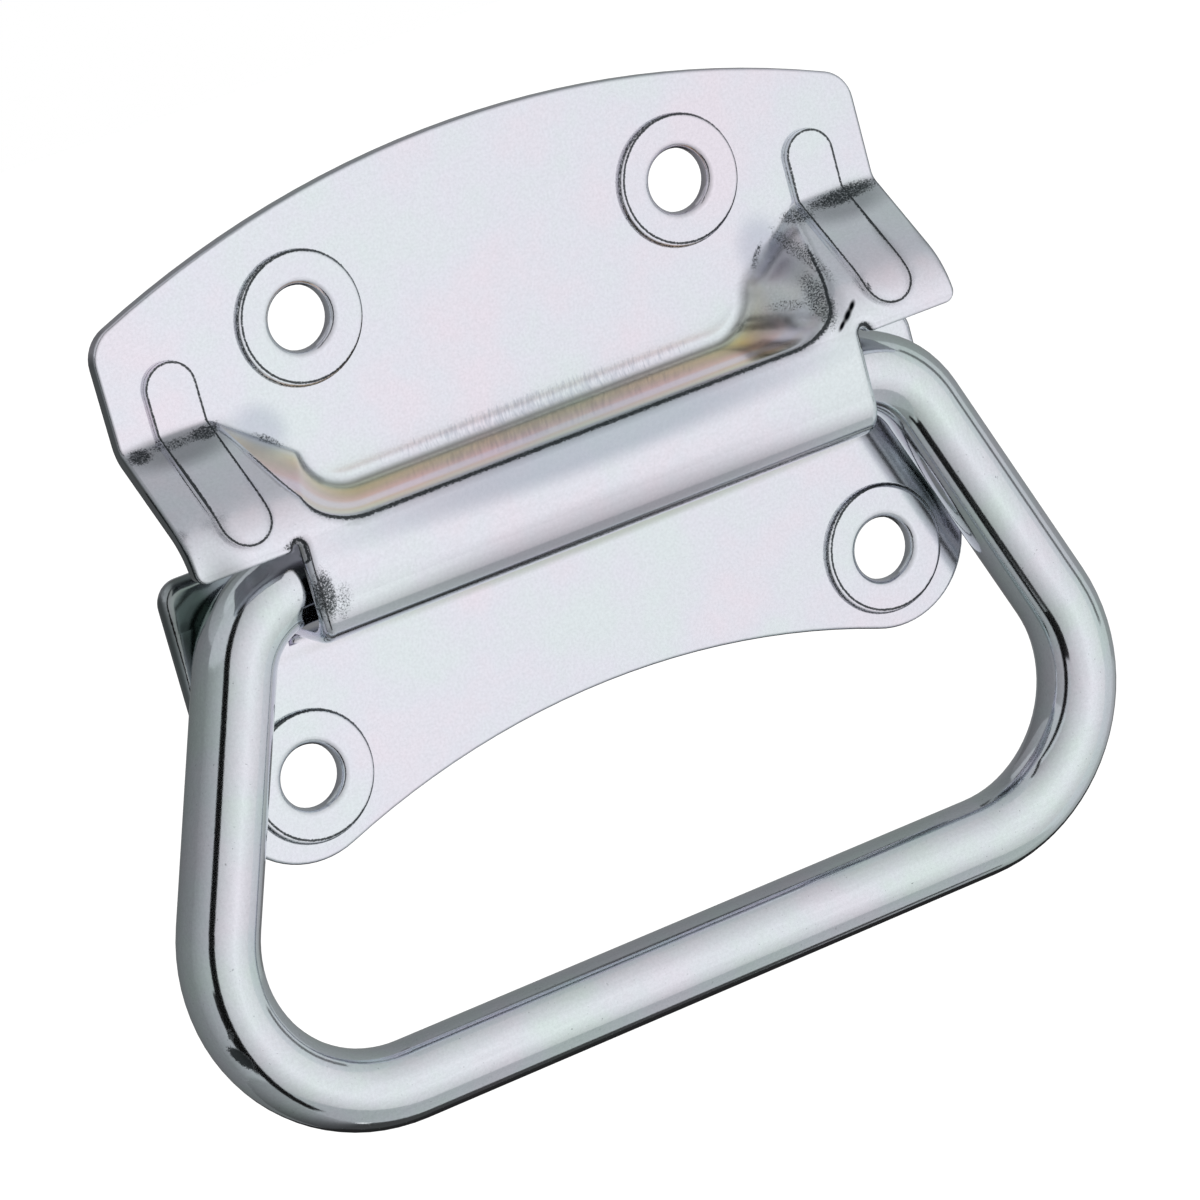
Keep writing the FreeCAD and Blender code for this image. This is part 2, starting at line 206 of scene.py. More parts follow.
@dataclass(frozen=True)
class BrightZinc:
    """Bright zinc electroplate on steel with a clear passivate.

    The zinc gives a pale, slightly blue mirror that is a little milky; the passivate film gives
    it faint pink and green clouds; handling and forming leave dark grainy rubbing marks, and the
    same darkening also carries painted shade and painted dark reflections.
    """

    name: str
    base: str
    pink: str
    green: str
    cloud_mm: float
    cloud_share: float
    roughness: float
    edge_mm: float
    grain_mm: float = 0.25
    grain_height_mm: float = 0.0012
    # One dark tone for rubbing marks, painted shade and painted dark reflections.
    rub_and_shade_colour: str = "#1E2628"
    rub_and_shade_grain_mm: float = 0.16
    rub_and_shade_share: float = 0.45
    rub_and_shade_levels: tuple[float, float] = (0.7, 0.98)
    rub_and_shade_most: float = 0.92
    rub_and_shade_roughness: float = 0.3
    cloud_stops: tuple[float, float, float] = (0.36, 0.5, 0.64)
    grain_levels: tuple[float, float] = (0.3, 0.7)
    grain_shades: tuple[float, float] = (0.96, 1.04)
    front_tilt: float = -0.03

    def build(self) -> bpy.types.Material:
        """Make the material.

        Returns:
            The material, ready to be given to a piece.
        """
        material = bpy.data.materials.new(self.name)
        material.use_nodes = True
        tree = material.node_tree
        tree.nodes.clear()
        local = add_node(tree, "ShaderNodeTexCoord")
        place = add_node(
            tree, "ShaderNodeVectorMath", {0: local.outputs["Object"]}, {"Scale": 1.0 / MM},
            operation="SCALE",
        ).outputs["Vector"]
        # The plating's own grain is microns wide; it is drawn coarser here so that it shows.
        grain = add_node(
            tree, "ShaderNodeTexNoise", {"Vector": place},
            {"Scale": 1.0 / self.grain_mm, "Detail": 2.0, "Roughness": 0.6},
        ).outputs["Fac"]
        colour = self.film(tree, place, grain)
        colour, rub_and_shade, relief, ease = self.marks(tree, place, local.outputs["Normal"], colour)
        colour, wear_and_shade = self.darken_rubs_and_shade(tree, place, colour, rub_and_shade)
        rough = add_node(
            tree, "ShaderNodeMapRange", {"Value": wear_and_shade},
            {"To Min": self.roughness, "To Max": self.roughness + self.rub_and_shade_roughness},
        )
        edge = add_node(
            tree, "ShaderNodeBevel", {"Radius": ease} if ease else {},
            {"Radius": self.edge_mm * MM}, samples=6,
        )
        height = add_node(
            tree, "ShaderNodeMath", {0: grain, 2: relief}, {1: self.grain_height_mm},
            operation="MULTIPLY_ADD",
        )
        bump = add_node(
            tree, "ShaderNodeBump",
            {"Height": height.outputs[0], "Normal": edge.outputs["Normal"]},
            {"Strength": 1.0, "Distance": MM},
        )
        shader = add_node(
            tree, "ShaderNodeBsdfPrincipled",
            {
                "Base Color": colour,
                "Roughness": rough.outputs["Result"],
                "Normal": bump.outputs["Normal"],
            },
            {"Metallic": 1.0},
        )
        add_node(tree, "ShaderNodeOutputMaterial", {"Surface": shader.outputs["BSDF"]})
        return material

    def film(self, tree: Tree, place: Socket, grain: Socket) -> Socket:
        """Colour the zinc with the clouds of its passivate film and a fine grain.

        Args:
            tree: the material's tree.
            place: the place on the piece in millimetres.
            grain: the zinc's grain, from 0 to 1.

        Returns:
            The colour.
        """
        # The film clouds over patches about a centimetre wide.
        cloud = add_node(
            tree, "ShaderNodeTexNoise", {"Vector": place},
            {"Scale": 1.0 / self.cloud_mm, "Detail": 4.0, "Roughness": 0.6},
        )
        ramp_node = add_node(tree, "ShaderNodeValToRGB", {"Fac": cloud.outputs["Fac"]})
        set_ramp(ramp_node, list(zip(self.cloud_stops, (self.green, self.base, self.pink))))
        tinted = add_node(
            tree, "ShaderNodeMix", {MIX_B: ramp_node.outputs["Color"]},
            {MIX_FACTOR: self.cloud_share, MIX_A: linear(self.base)}, data_type="RGBA",
        )
        shade = add_node(
            tree, "ShaderNodeMapRange", {"Value": grain},
            {
                "From Min": self.grain_levels[0],
                "From Max": self.grain_levels[1],
                "To Min": self.grain_shades[0],
                "To Max": self.grain_shades[1],
            },
        )
        grainy = add_node(
            tree, "ShaderNodeVectorMath",
            {0: tinted.outputs[MIX_OUT], "Scale": shade.outputs["Result"]}, operation="SCALE",
        )
        return grainy.outputs["Vector"]

    def darken_rubs_and_shade(
        self, tree: Tree, place: Socket,
        colour: Socket, rub_and_shade: Socket,
    ) -> tuple[Socket, Socket]:
        """Darken the zinc in grains for rubbing marks and for painted shade.

        Args:
            tree: the material's tree.
            place: the place on the piece in millimetres.
            colour: the colour so far.
            rub_and_shade: the strength of rubbing marks and painted shade, from 0 to 1.

        Returns:
            The new colour, and the strength of wear and painted shade at each spot.
        """
        grit = add_node(
            tree, "ShaderNodeTexNoise", {"Vector": place},
            {"Scale": 1.0 / self.rub_and_shade_grain_mm, "Detail": 3.0, "Roughness": 0.75},
        )
        level = add_node(
            tree, "ShaderNodeMath", {0: rub_and_shade, 2: grit.outputs["Fac"]}, {1: self.rub_and_shade_share},
            operation="MULTIPLY_ADD",
        )
        wear_and_shade = add_node(
            tree, "ShaderNodeMapRange", {"Value": level.outputs[0]},
            {
                "From Min": self.rub_and_shade_levels[0],
                "From Max": self.rub_and_shade_levels[1],
                "To Max": self.rub_and_shade_most,
            },
            interpolation_type="SMOOTHSTEP",
        ).outputs["Result"]
        # Rubbing marks and painted shade darken the zinc alike.
        darkened = add_node(
            tree, "ShaderNodeMix", {MIX_FACTOR: wear_and_shade, MIX_A: colour},
            {MIX_B: linear(self.rub_and_shade_colour)}, data_type="RGBA",
        )
        return darkened.outputs[MIX_OUT], wear_and_shade

    def facing_front(self, tree: Tree, normal: Socket) -> Socket:
        """Find the faces that look to the front.

        Args:
            tree: the material's tree.
            normal: the direction that the surface faces, on the piece itself.

        Returns:
            1 where the surface faces the front and 0 elsewhere.
        """
        faces = add_node(tree, "ShaderNodeSeparateXYZ", {"Vector": normal})
        return add_node(
            tree, "ShaderNodeMapRange", {"Value": faces.outputs["Y"]},
            {"From Max": self.front_tilt},
        ).outputs["Result"]

    def marks(
        self, tree: Tree, place: Socket,
        normal: Socket, colour: Socket,
    ) -> tuple[Socket | None, ...]:
        """Add what forming the piece did to its skin.

        Args:
            tree: the material's tree.
            place: the place on the piece in millimetres.
            normal: the direction that the surface faces, on the piece itself.
            colour: the colour so far.

        Returns:
            The new colour, the strength of rubbing marks and painted shade at each spot, its height
            in millimetres, and how widely its edges are eased, in metres, or None where the easing is
            the same all over.
        """
        raise NotImplementedError


@dataclass(frozen=True)
class PressedSheetZinc(BrightZinc):
    """Bright zinc on the pressed sheet.

    The pocket's wall carries the film's tint in a tan band and a pink band, with painted shade; the
    creases and the ends of the channel have dark grainy rubbing marks, and a thin dark line runs
    along the pocket's crest. Painted shade lies beside the creases, across and under the channel, in
    the channel's ends and in the step round each rib and ring, with painted dark reflections on the
    tabs.
    The sizes are those of the sheet, in millimetres.
    """

    sheet: float = 1.2
    crown: float = 8.9
    crown_easing: float = 4.0
    crease_z: float = -5.3
    wing_slope: float = 50.0
    wall_top_z: float = -17.0
    rib_x: float = 29.8
    rib_radius: float = 2.2
    rib_z: tuple[float, float] = (-11.7, -1.75)
    ring_radius: float = 5.5
    ring_places: tuple[tuple[float, float], ...] = ((17.65, 0.0), (27.35, -35.45))
    ring_shift: tuple[float, float] = (0.2, 0.1)
    side_x: float = 35.3
    blend_mm: float = 0.6
    bulge_z: tuple[float, float] = (-20.6, -14.9)
    bulge_middle_z: float = -18.4
    bulge_per_mm: float = 0.05
    # The film's tan and pink tint on the pocket's wall by height, with painted shade in the darker
    # stops.
    wall_tint_and_shade_stops: tuple[tuple[float, str], ...] = (
        (0.12, "#FFFFFF"),
        (0.45, "#D0CABB"),
        (0.8, "#FFF6D8"),
        (1.5, "#FFE6A6"),
        (2.3, "#EDCA84"),
        (3.1, "#D8B476"),
        (3.9, "#DFB086"),
        (4.7, "#F4BEA2"),
        (5.5, "#FFE8E2"),
        (6.3, "#FFEAE2"),
        (7.0, "#F5D4A8"),
        (7.8, "#E9E2B8"),
        (8.3, "#E4E8DE"),
        (8.85, "#FFFFFF"),
    )
    # Rubbing marks, and painted shade lines along the channel's root and the ribs' edges.
    rubs_and_shade_lines: tuple[Patch, ...] = (
        Patch(-34.0, -5.95, 1.7, 0.9, 1.0),
        Patch(-31.2, -5.8, 3.4, 0.6, 0.75),
        Patch(-28.3, -5.75, 2.8, 0.8, 0.95),
        Patch(31.6, -5.7, 6.2, 0.95, 0.98),
        Patch(27.0, -6.1, 2.0, 1.0, 0.8),
        Patch(25.4, -8.6, 1.1, 4.0, 0.7, -12.0),
        Patch(24.1, -12.1, 1.3, 3.8, 0.78, 14.0),
        Patch(22.5, -12.1, 1.9, 0.8, 0.62),
        Patch(22.9, -8.2, 0.45, 2.3, 0.8, 38.0),
        Patch(-22.9, -8.4, 0.5, 2.6, 0.75, -50.0),
        Patch(4.0, -23.45, 34.0, 0.36, 0.85),
        Patch(-25.3, -19.6, 1.4, 3.4, 0.95),
        Patch(-24.2, -20.6, 1.6, 2.8, 0.6, 20.0),
        Patch(-26.9, -15.0, 1.3, 0.6, 0.8),
        Patch(27.8, -12.0, 0.6, 0.7, 0.85),
        Patch(-31.9, -8.8, 0.3, 4.2, 1.3),
        Patch(31.9, -8.2, 0.28, 4.0, 1.1),
        Patch(27.7, -2.6, 0.26, 2.6, 1.0),
    )
    # Painted shade by the creases, corners and channel, and dark green painted reflections on the
    # tabs.
    painted_shade_patches: tuple[tuple[Patch, str], ...] = (
        (Patch(-30.8, -6.2, 6.5, 1.7, 0.55), "#596062"),
        (Patch(31.2, -6.2, 6.5, 1.7, 0.5), "#5C6366"),
        (Patch(24.6, -11.4, 1.8, 4.6, 0.3), "#6A6E74"),
        (Patch(0.0, -16.0, 30.0, 2.6, 0.6), "#9CA6B4"),
        (Patch(0.0, -22.0, 30.0, 2.4, 0.45), "#A39EA6"),
        (Patch(23.4, -7.6, 3.0, 3.6, 0.34), "#8C9AB0"),
        (Patch(-23.4, -7.4, 3.4, 2.8, 0.34, 40.0), "#8C98B0"),
        (Patch(4.0, -25.6, 36.0, 0.95, 0.6), "#A4AC9C"),
        (Patch(-33.0, -20.5, 3.8, 8.5, 0.85), "#30503E"),
        (Patch(34.0, -29.5, 3.4, 7.0, 0.9), "#33493E"),
    )
    # Painted shade inside the channel's ends, where the bail goes in.
    shaded_nooks: tuple[Patch, ...] = (
        Patch(-26.0, -17.2, 3.6, 4.2, 0.9),
        Patch(26.0, -17.2, 3.6, 4.2, 0.6),
    )
    soft_bends: tuple[Patch, ...] = (
        Patch(31.0, -11.5, 6.5, 5.0, 1.8),
        Patch(-31.0, -11.5, 6.5, 5.0, 1.8),
        Patch(22.2, -10.5, 3.6, 7.0, 2.0),
    )
    gouge_colour: str = "#05080C"
    nook_shade_colour: str = "#1C2A24"
    scuff_colour: str = "#9AA3B4"
    shear_colour: str = "#4A5553"
    rub_and_shade_depth_mm: float = 0.004
    ease_depths: tuple[float, float] = (0.3, 0.9)
    wall_fade: float = 0.5
    shear_reach: tuple[float, float] = (0.35, 0.05)
    shear_most: float = 0.75
    scuffs: Patch = Patch(1.0, -13.1, 24.0, 1.4, 0.42)
    scuffs_per_mm: tuple[float, float, float] = (5.0, 1.0, 0.8)
    scuff_levels: tuple[float, float] = (0.8, 1.05)
    scuff_most: float = 0.4
    rib_inset: float = 0.1
    ring_inset: float = 0.08
    # Strengths of the painted shade lines round the ribs and rings.
    rib_shade: float = 1.15
    ring_shade: float = 0.85
    ring_left_shade: float = 1.2
    ring_left_inset: float = 0.24
    line_half_widths: tuple[float, float] = (0.17, 0.05)
    crest_depth: float = 0.3
    crest_half_widths: tuple[float, float] = (0.23, 0.06)
    crest_heights: tuple[float, float] = (2.0, 4.0)
    crest_darkening: float = 1.2
    band_depths: tuple[float, float] = (0.2, 0.6)
    band_left: tuple[float, float] = (-23.0, -18.0)
    band_left_share: float = 0.6
    band_right: tuple[float, float] = (18.5, 22.0)
    band_right_share: float = 0.15
    gouge: tuple[Patch, ...] = (
        Patch(26.0, -13.05, 0.8, 0.3, 1.0, -40.0),
        Patch(25.3, -13.6, 1.0, 0.36, 1.0, -40.0),
        Patch(24.5, -14.2, 0.8, 0.26, 1.0, -40.0),
    )

    def marks(
        self, tree: Tree, place: Socket,
        normal: Socket, colour: Socket,
    ) -> tuple[Socket | None, ...]:
        """Add the wall's bands, rubbing marks, painted shade, the shade lines round ribs and rings,
        and edges.

        Args:
            tree: the material's tree.
            place: the place on the piece in millimetres.
            normal: the direction that the surface faces, on the piece itself.
            colour: the colour so far.

        Returns:
            The new colour, the rubbing marks with painted shade, the relief in millimetres and the
            width of its eased edges.
        """
        axes = add_node(tree, "ShaderNodeSeparateXYZ", {"Vector": place})
        side = add_node(
            tree, "ShaderNodeMath", {0: axes.outputs["X"]}, operation="ABSOLUTE",
        ).outputs[0]
        height = add_node(
            tree, "ShaderNodeMath", {0: axes.outputs["Y"]}, {1: -1.0, 2: -self.sheet},
            operation="MULTIPLY_ADD",
        ).outputs[0]
        front = self.facing_front(tree, normal)
        depth = self.pocket_depth(tree, axes.outputs["Z"], height, front)
        colour = self.wall_tint_and_shade(tree, axes.outputs["X"], depth, height, colour)
        colour = self.foot_scuffs(tree, place, front, colour)
        # Painted shade patches, and painted reflections on the tabs.
        for patch, tone in self.painted_shade_patches:
            colour = patch.painted(tree, place, front, colour, tone)
        # Painted shade inside the channel's ends, on faces that don't look to the front.
        behind = add_node(tree, "ShaderNodeMath", {1: front}, {0: 1.0}, operation="SUBTRACT")
        for patch in self.shaded_nooks:
            colour = patch.painted(tree, place, behind.outputs[0], colour, self.nook_shade_colour)
        colour = self.edge_shade(tree, side, colour)
        crest = self.crest(tree, depth, height)
        # Painted shade lines round the ribs and rings.
        lines = self.outlines(tree, side, axes.outputs["X"], axes.outputs["Z"], front)
        rub_and_shade = add_node(
            tree, "ShaderNodeMath", {0: crest, 1: lines}, operation="MAXIMUM",
        ).outputs[0]
        # Rubbing marks and painted shade lines.
        for patch in self.rubs_and_shade_lines:
            rub_and_shade = patch.raised(tree, place, rub_and_shade, front)
        for patch in self.gouge:
            colour = patch.painted(tree, place, front, colour, self.gouge_colour)
        relief = add_node(
            tree, "ShaderNodeMath", {0: rub_and_shade, 2: self.crowning(tree, axes.outputs["Z"])},
            {1: -self.rub_and_shade_depth_mm}, operation="MULTIPLY_ADD",
        ).outputs[0]
        ease = add_node(
            tree, "ShaderNodeMapRange", {"Value": depth},
            {
                "From Min": self.ease_depths[0],
                "From Max": self.ease_depths[1],
                "To Min": self.edge_mm,
                "To Max": self.blend_mm,
            },
        ).outputs["Result"]
        for patch in self.soft_bends:
            ease = patch.raised(tree, place, ease)
        ease = add_node(
            tree, "ShaderNodeMath", {0: ease}, {1: MM}, operation="MULTIPLY",
        ).outputs[0]
        return colour, rub_and_shade, relief, ease

    def crowning(self, tree: Tree, up: Socket) -> Socket:
        """Bulge the channel's front by a few hundredths, as a formed sheet springs back.

        Args:
            tree: the material's tree.
            up: the place up the plate.

        Returns:
            The bulge in millimetres.
        """
        level = add_node(
            tree, "ShaderNodeClamp", {"Value": up}, {"Min": self.bulge_z[0], "Max": self.bulge_z[1]},
        )
        off = add_node(
            tree, "ShaderNodeMath", {0: level.outputs["Result"]}, {1: self.bulge_middle_z},
            operation="SUBTRACT",
        )
        square = add_node(
            tree, "ShaderNodeMath", {0: off.outputs[0], 1: off.outputs[0]}, operation="MULTIPLY",
        )
        return add_node(
            tree, "ShaderNodeMath", {0: square.outputs[0]}, {1: -self.bulge_per_mm / 2.0},
            operation="MULTIPLY",
        ).outputs[0]

    def pocket_depth(self, tree: Tree, up: Socket, height: Socket, front: Socket) -> Socket:
        """Work out how deep a spot lies below the raised form that the pocket was pressed into.

        Args:
            tree: the material's tree.
            up: the spot's place up the plate.
            height: the spot's height in front of the flat.
            front: 1 where the surface faces the front.

        Returns:
            The depth in millimetres, 0 outside the pocket.
        """
        rise = math.tan(math.radians(self.wing_slope))
        wing = add_node(
            tree, "ShaderNodeMath", {0: up}, {1: -rise, 2: self.crease_z * rise},
            operation="MULTIPLY_ADD",
        )
        raised = add_node(
            tree, "ShaderNodeMath", {0: wing.outputs[0]}, {1: self.crown, 2: self.crown_easing},
            operation="SMOOTH_MIN",
        )
        depth = add_node(
            tree, "ShaderNodeMath", {0: raised.outputs[0], 1: height}, operation="SUBTRACT",
        )
        above = add_node(
            tree, "ShaderNodeMapRange", {"Value": up},
            {"From Min": self.wall_top_z, "From Max": self.wall_top_z + self.wall_fade},
        )
        kept = add_node(
            tree, "ShaderNodeMath", {0: front, 1: above.outputs["Result"]}, operation="MULTIPLY",
        )
        return add_node(
            tree, "ShaderNodeMath", {0: depth.outputs[0], 1: kept.outputs[0]}, operation="MULTIPLY",
        ).outputs[0]

    def wall_tint_and_shade(
        self, tree: Tree, across: Socket, depth: Socket,
        height: Socket, colour: Socket,
    ) -> Socket:
        """Tint the pocket's wall in bands that follow its height and fade at its ends.

        The bands hold the film's tint and painted shade.

        Args:
            tree: the material's tree.
            across: the place across the plate.
            depth: the depth in the pocket.
            height: the height in front of the flat.
            colour: the colour so far.

        Returns:
            The new colour.
        """
        share = add_node(tree, "ShaderNodeMath", {0: height}, {1: self.crown}, operation="DIVIDE")
        ramp_node = add_node(tree, "ShaderNodeValToRGB", {"Fac": share.outputs[0]})
        set_ramp(ramp_node, [(stop / self.crown, tone) for stop, tone in self.wall_tint_and_shade_stops])
        inside = add_node(
            tree, "ShaderNodeMapRange", {"Value": depth},
            {"From Min": self.band_depths[0], "From Max": self.band_depths[1]},
            interpolation_type="SMOOTHSTEP",
        )
        fading = add_node(
            tree, "ShaderNodeMapRange", {"Value": across},
            {
                "From Min": self.band_right[0],
                "From Max": self.band_right[1],
                "To Min": 1.0,
                "To Max": self.band_right_share,
            },
        )
        rising = add_node(
            tree, "ShaderNodeMapRange", {"Value": across},
            {
                "From Min": self.band_left[0],
                "From Max": self.band_left[1],
                "To Min": self.band_left_share,
            },
        )
        shown = add_node(
            tree, "ShaderNodeMath", {0: fading.outputs["Result"], 1: rising.outputs["Result"]},
            operation="MULTIPLY",
        )
        band = add_node(
            tree, "ShaderNodeMath", {0: inside.outputs["Result"], 1: shown.outputs[0]},
            operation="MULTIPLY",
        )
        # Multiply in the film's tint and painted shade.
        return add_node(
            tree, "ShaderNodeMix",
            {MIX_FACTOR: band.outputs[0], MIX_A: colour, MIX_B: ramp_node.outputs["Color"]},
            data_type="RGBA", blend_type="MULTIPLY",
        ).outputs[MIX_OUT]

    def foot_scuffs(self, tree: Tree, place: Socket, front: Socket, colour: Socket) -> Socket:
        """Add the short upright draw marks on the flat just above the pocket's foot.

        Args:
            tree: the material's tree.
            place: the place on the piece in millimetres.
            front: 1 where the surface faces the front.
            colour: the colour so far.

        Returns:
            The new colour.
        """
        drawn = add_node(
            tree, "ShaderNodeMapping", {"Vector": place}, {"Scale": self.scuffs_per_mm},
        )
        marks = add_node(
            tree, "ShaderNodeTexNoise", {"Vector": drawn.outputs["Vector"]},
            {"Scale": 1.0, "Detail": 2.0, "Roughness": 0.6},
        )
        near = self.scuffs.mask(tree, place)
        level = add_node(
            tree, "ShaderNodeMath", {0: near, 1: marks.outputs["Fac"]}, operation="ADD",
        )
        strength = add_node(
            tree, "ShaderNodeMapRange", {"Value": level.outputs[0]},
            {
                "From Min": self.scuff_levels[0],
                "From Max": self.scuff_levels[1],
                "To Max": self.scuff_most,
            },
        )
        kept = add_node(
            tree, "ShaderNodeMath", {0: strength.outputs["Result"], 1: front},
            operation="MULTIPLY",
        )
        return add_node(
            tree, "ShaderNodeMix", {MIX_FACTOR: kept.outputs[0], MIX_A: colour},
            {MIX_B: linear(self.scuff_colour)}, data_type="RGBA",
        ).outputs[MIX_OUT]

    def outlines(
        self, tree: Tree, side: Socket, axis: Socket,
        up: Socket, front: Socket,
    ) -> Socket:
        """Find the step round each rib and ring, where shade is painted as a dark line, more on a
        ring's left.

        Args:
            tree: the material's tree.
            side: the place away from the middle.
            axis: the place across the plate.
            up: the place up the plate.
            front: 1 where the surface faces the front.

        Returns:
            The strength of the outline.
        """
        level = add_node(
            tree, "ShaderNodeClamp", {"Value": up}, {"Min": self.rib_z[0], "Max": self.rib_z[1]},
        )
        across = add_node(tree, "ShaderNodeMath", {0: side}, {1: self.rib_x}, operation="SUBTRACT")
        along = add_node(
            tree, "ShaderNodeMath", {0: up, 1: level.outputs["Result"]}, operation="SUBTRACT",
        )
        from_rib = add_node(
            tree, "ShaderNodeCombineXYZ", {"X": across.outputs[0], "Y": along.outputs[0]},
        )
        reach = add_node(
            tree, "ShaderNodeVectorMath", {0: from_rib.outputs["Vector"]}, operation="LENGTH",
        )
        lines = self.line_at(
            tree, reach.outputs["Value"], self.rib_radius - self.rib_inset, self.rib_shade,
        )
        spot = add_node(tree, "ShaderNodeCombineXYZ", {"X": side, "Y": up})
        seen = add_node(tree, "ShaderNodeCombineXYZ", {"X": axis, "Y": up})
        for x, z in self.ring_places:
            away = add_node(
                tree, "ShaderNodeVectorMath", {0: spot.outputs["Vector"]}, {1: (x, z, 0.0)},
                operation="DISTANCE",
            )
            ring = self.line_at(
                tree, away.outputs["Value"], self.ring_radius - self.ring_inset, self.ring_shade,
            )
            lines = add_node(
                tree, "ShaderNodeMath", {0: lines, 1: ring}, operation="MAXIMUM",
            ).outputs[0]
            for middle in (x, -x):
                away = add_node(
                    tree, "ShaderNodeVectorMath", {0: seen.outputs["Vector"]},
                    {1: (middle + self.ring_shift[0], z + self.ring_shift[1], 0.0)},
                    operation="DISTANCE",
                )
                inner = self.line_at(
                    tree, away.outputs["Value"], self.ring_radius - self.ring_left_inset,
                    self.ring_left_shade,
                )
                lines = add_node(
                    tree, "ShaderNodeMath", {0: lines, 1: inner}, operation="MAXIMUM",
                ).outputs[0]
        return add_node(
            tree, "ShaderNodeMath", {0: lines, 1: front}, operation="MULTIPLY",
        ).outputs[0]

    def line_at(self, tree: Tree, distance: Socket, radius: float, amount: float) -> Socket:
        """Draw a thin line at one distance.

        Args:
            tree: the material's tree.
            distance: the distance from a middle in millimetres.
            radius: the line's own distance.
            amount: its strength.

        Returns:
            The line's strength.
        """
        off = add_node(tree, "ShaderNodeMath", {0: distance}, {1: radius}, operation="SUBTRACT")
        width = add_node(tree, "ShaderNodeMath", {0: off.outputs[0]}, operation="ABSOLUTE")
        return add_node(
            tree, "ShaderNodeMapRange", {"Value": width.outputs[0]},
            {
                "From Min": self.line_half_widths[0],
                "From Max": self.line_half_widths[1],
                "To Max": amount,
            },
        ).outputs["Result"]

    def crest(self, tree: Tree, depth: Socket, height: Socket) -> Socket:
        """Find a thin line along the crest of the pocket, which is darkened.

        Args:
            tree: the material's tree.
            depth: the depth in the pocket.
            height: the height in front of the flat.

        Returns:
            The strength of the line.
        """
        off = add_node(
            tree, "ShaderNodeMath", {0: depth}, {1: self.crest_depth}, operation="SUBTRACT",
        )
        width = add_node(tree, "ShaderNodeMath", {0: off.outputs[0]}, operation="ABSOLUTE")
        line = add_node(
            tree, "ShaderNodeMapRange", {"Value": width.outputs[0]},
            {
                "From Min": self.crest_half_widths[0],
                "From Max": self.crest_half_widths[1],
                "To Max": self.crest_darkening,
            },
        )
        raised = add_node(
            tree, "ShaderNodeMapRange", {"Value": height},
            {"From Min": self.crest_heights[0], "From Max": self.crest_heights[1]},
        )
        return add_node(
            tree, "ShaderNodeMath", {0: line.outputs["Result"], 1: raised.outputs["Result"]},
            operation="MULTIPLY",
        ).outputs[0]

    def edge_shade(self, tree: Tree, side: Socket, colour: Socket) -> Socket:
        """Darken a thin strip along the sheared side edges of the sheet.

        Args:
            tree: the material's tree.
            side: the place away from the middle.
            colour: the colour so far.

        Returns:
            The new colour.
        """
        strength = add_node(
            tree, "ShaderNodeMapRange", {"Value": side},
            {
                "From Min": self.side_x - self.shear_reach[0],
                "From Max": self.side_x - self.shear_reach[1],
                "To Max": self.shear_most,
            },
        )
        return add_node(
            tree, "ShaderNodeMix", {MIX_FACTOR: strength.outputs["Result"], MIX_A: colour},
            {MIX_B: linear(self.shear_colour)}, data_type="RGBA",
        ).outputs[MIX_OUT]


